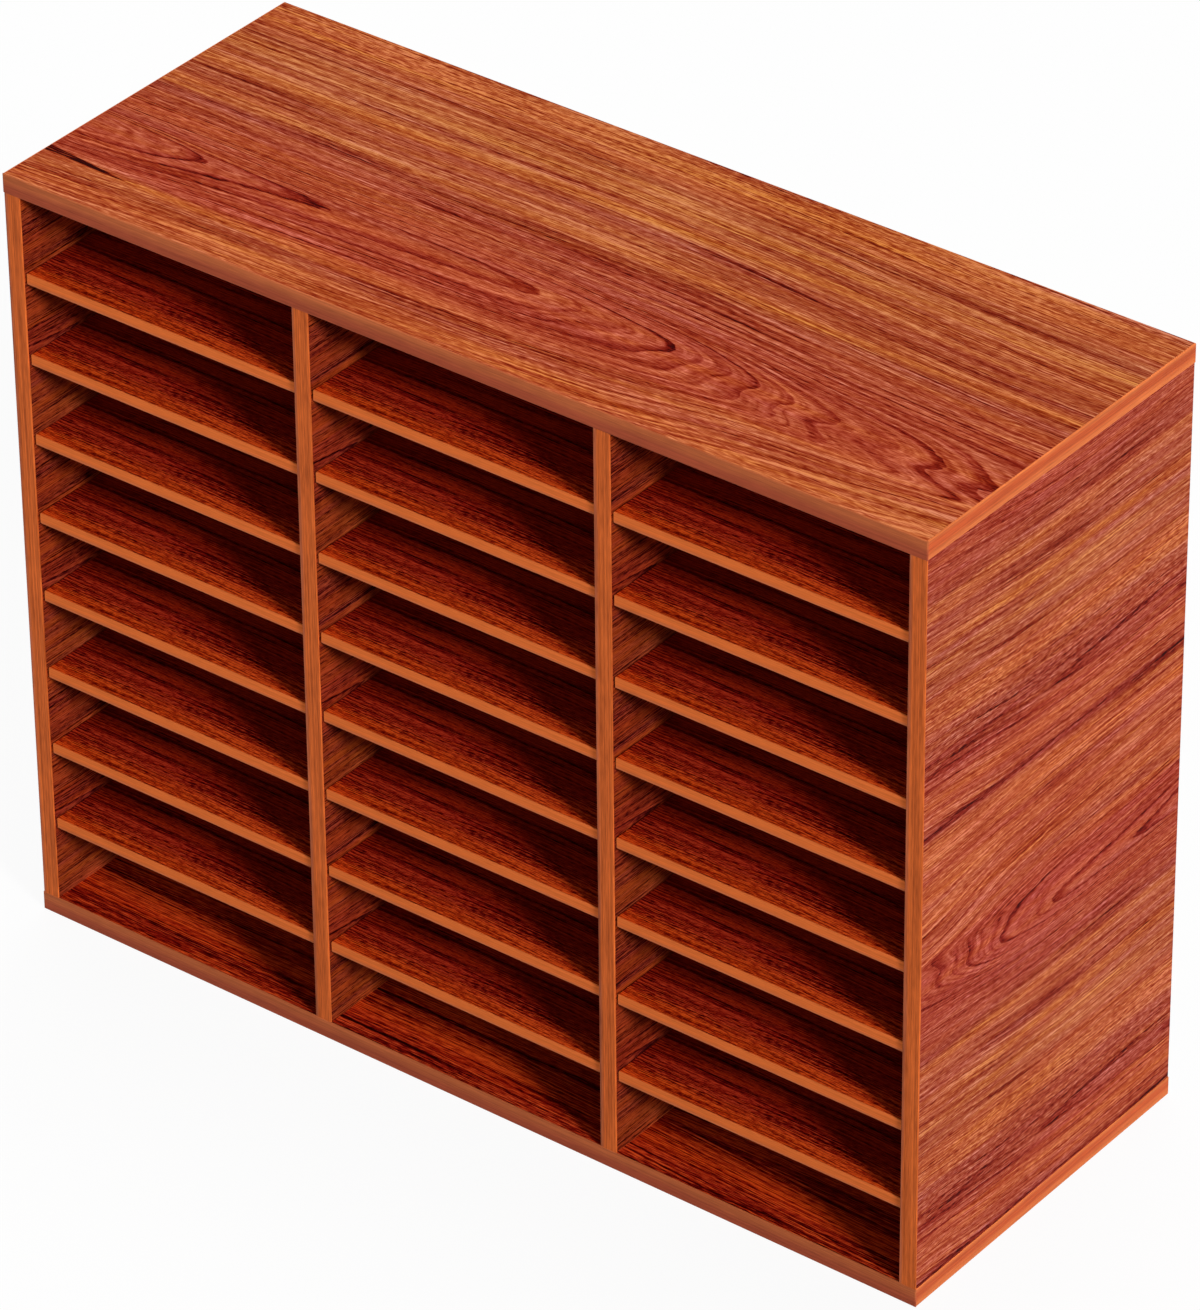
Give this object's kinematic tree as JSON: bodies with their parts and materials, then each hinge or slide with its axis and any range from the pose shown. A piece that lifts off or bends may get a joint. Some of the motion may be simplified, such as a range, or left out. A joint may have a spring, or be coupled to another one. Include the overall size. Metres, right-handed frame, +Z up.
{
  "type": "literature organizer",
  "caption": "Open-fronted wood-grain literature organizer with columns of flat paper compartments and loose shelves on runners.",
  "frame": {"origin": "centre of the cabinet's footprint, on the surface that it stands on", "axes": "+X along the width to the right of someone facing the open front, +Y along the depth to the rear, +Z up; the open front faces -Y"},
  "size_m": [0.784, 0.305, 0.619],
  "materials": {
    "wood_board": "satin",
    "shelf_board": "satin",
    "edge_band": "satin",
    "hardboard": "matte",
    "dowel_wood": "matte",
    "runner_plastic": "satin"
  },
  "bodies": {
    "cabinet": {"bottom_panel": "wood_board", "bottom_front_band": "edge_band", "bottom_left_band": "edge_band", "bottom_right_band": "edge_band", "top_panel": "wood_board", "top_front_band": "edge_band", "top_left_band": "edge_band", "top_right_band": "edge_band", "left_side": "wood_board", "left_side_band": "edge_band", "left_divider": "wood_board", "left_divider_band": "edge_band", "right_divider": "wood_board", "right_divider_band": "edge_band", "right_side": "wood_board", "right_side_band": "edge_band", "left_back_panel": "hardboard", "left_shelf_runners": "runner_plastic", "middle_back_panel": "hardboard", "middle_shelf_runners": "runner_plastic", "right_back_panel": "hardboard", "right_shelf_runners": "runner_plastic", "bottom_dowels": "dowel_wood", "top_dowels": "dowel_wood"},
    "left_shelf_1": {"left_shelf_1": "shelf_board"},
    "left_shelf_2": {"left_shelf_2": "shelf_board"},
    "left_shelf_3": {"left_shelf_3": "shelf_board"},
    "left_shelf_4": {"left_shelf_4": "shelf_board"},
    "left_shelf_5": {"left_shelf_5": "shelf_board"},
    "left_shelf_6": {"left_shelf_6": "shelf_board"},
    "left_shelf_7": {"left_shelf_7": "shelf_board"},
    "left_shelf_8": {"left_shelf_8": "shelf_board"},
    "middle_shelf_1": {"middle_shelf_1": "shelf_board"},
    "middle_shelf_2": {"middle_shelf_2": "shelf_board"},
    "middle_shelf_3": {"middle_shelf_3": "shelf_board"},
    "middle_shelf_4": {"middle_shelf_4": "shelf_board"},
    "middle_shelf_5": {"middle_shelf_5": "shelf_board"},
    "middle_shelf_6": {"middle_shelf_6": "shelf_board"},
    "middle_shelf_7": {"middle_shelf_7": "shelf_board"},
    "middle_shelf_8": {"middle_shelf_8": "shelf_board"},
    "right_shelf_1": {"right_shelf_1": "shelf_board"},
    "right_shelf_2": {"right_shelf_2": "shelf_board"},
    "right_shelf_3": {"right_shelf_3": "shelf_board"},
    "right_shelf_4": {"right_shelf_4": "shelf_board"},
    "right_shelf_5": {"right_shelf_5": "shelf_board"},
    "right_shelf_6": {"right_shelf_6": "shelf_board"},
    "right_shelf_7": {"right_shelf_7": "shelf_board"},
    "right_shelf_8": {"right_shelf_8": "shelf_board"}
  },
  "joints": [
    {"name": "left_shelf_1_slide", "type": "slide", "parent": "cabinet", "child": "left_shelf_1", "axis": [0, -1, 0], "range_m": [0, 0.275]},
    {"name": "left_shelf_2_slide", "type": "slide", "parent": "cabinet", "child": "left_shelf_2", "axis": [0, -1, 0], "range_m": [0, 0.275]},
    {"name": "left_shelf_3_slide", "type": "slide", "parent": "cabinet", "child": "left_shelf_3", "axis": [0, -1, 0], "range_m": [0, 0.275]},
    {"name": "left_shelf_4_slide", "type": "slide", "parent": "cabinet", "child": "left_shelf_4", "axis": [0, -1, 0], "range_m": [0, 0.275]},
    {"name": "left_shelf_5_slide", "type": "slide", "parent": "cabinet", "child": "left_shelf_5", "axis": [0, -1, 0], "range_m": [0, 0.275]},
    {"name": "left_shelf_6_slide", "type": "slide", "parent": "cabinet", "child": "left_shelf_6", "axis": [0, -1, 0], "range_m": [0, 0.275]},
    {"name": "left_shelf_7_slide", "type": "slide", "parent": "cabinet", "child": "left_shelf_7", "axis": [0, -1, 0], "range_m": [0, 0.275]},
    {"name": "left_shelf_8_slide", "type": "slide", "parent": "cabinet", "child": "left_shelf_8", "axis": [0, -1, 0], "range_m": [0, 0.275]},
    {"name": "middle_shelf_1_slide", "type": "slide", "parent": "cabinet", "child": "middle_shelf_1", "axis": [0, -1, 0], "range_m": [0, 0.275]},
    {"name": "middle_shelf_2_slide", "type": "slide", "parent": "cabinet", "child": "middle_shelf_2", "axis": [0, -1, 0], "range_m": [0, 0.275]},
    {"name": "middle_shelf_3_slide", "type": "slide", "parent": "cabinet", "child": "middle_shelf_3", "axis": [0, -1, 0], "range_m": [0, 0.275]},
    {"name": "middle_shelf_4_slide", "type": "slide", "parent": "cabinet", "child": "middle_shelf_4", "axis": [0, -1, 0], "range_m": [0, 0.275]},
    {"name": "middle_shelf_5_slide", "type": "slide", "parent": "cabinet", "child": "middle_shelf_5", "axis": [0, -1, 0], "range_m": [0, 0.275]},
    {"name": "middle_shelf_6_slide", "type": "slide", "parent": "cabinet", "child": "middle_shelf_6", "axis": [0, -1, 0], "range_m": [0, 0.275]},
    {"name": "middle_shelf_7_slide", "type": "slide", "parent": "cabinet", "child": "middle_shelf_7", "axis": [0, -1, 0], "range_m": [0, 0.275]},
    {"name": "middle_shelf_8_slide", "type": "slide", "parent": "cabinet", "child": "middle_shelf_8", "axis": [0, -1, 0], "range_m": [0, 0.275]},
    {"name": "right_shelf_1_slide", "type": "slide", "parent": "cabinet", "child": "right_shelf_1", "axis": [0, -1, 0], "range_m": [0, 0.275]},
    {"name": "right_shelf_2_slide", "type": "slide", "parent": "cabinet", "child": "right_shelf_2", "axis": [0, -1, 0], "range_m": [0, 0.275]},
    {"name": "right_shelf_3_slide", "type": "slide", "parent": "cabinet", "child": "right_shelf_3", "axis": [0, -1, 0], "range_m": [0, 0.275]},
    {"name": "right_shelf_4_slide", "type": "slide", "parent": "cabinet", "child": "right_shelf_4", "axis": [0, -1, 0], "range_m": [0, 0.275]},
    {"name": "right_shelf_5_slide", "type": "slide", "parent": "cabinet", "child": "right_shelf_5", "axis": [0, -1, 0], "range_m": [0, 0.275]},
    {"name": "right_shelf_6_slide", "type": "slide", "parent": "cabinet", "child": "right_shelf_6", "axis": [0, -1, 0], "range_m": [0, 0.275]},
    {"name": "right_shelf_7_slide", "type": "slide", "parent": "cabinet", "child": "right_shelf_7", "axis": [0, -1, 0], "range_m": [0, 0.275]},
    {"name": "right_shelf_8_slide", "type": "slide", "parent": "cabinet", "child": "right_shelf_8", "axis": [0, -1, 0], "range_m": [0, 0.275]}
  ]
}
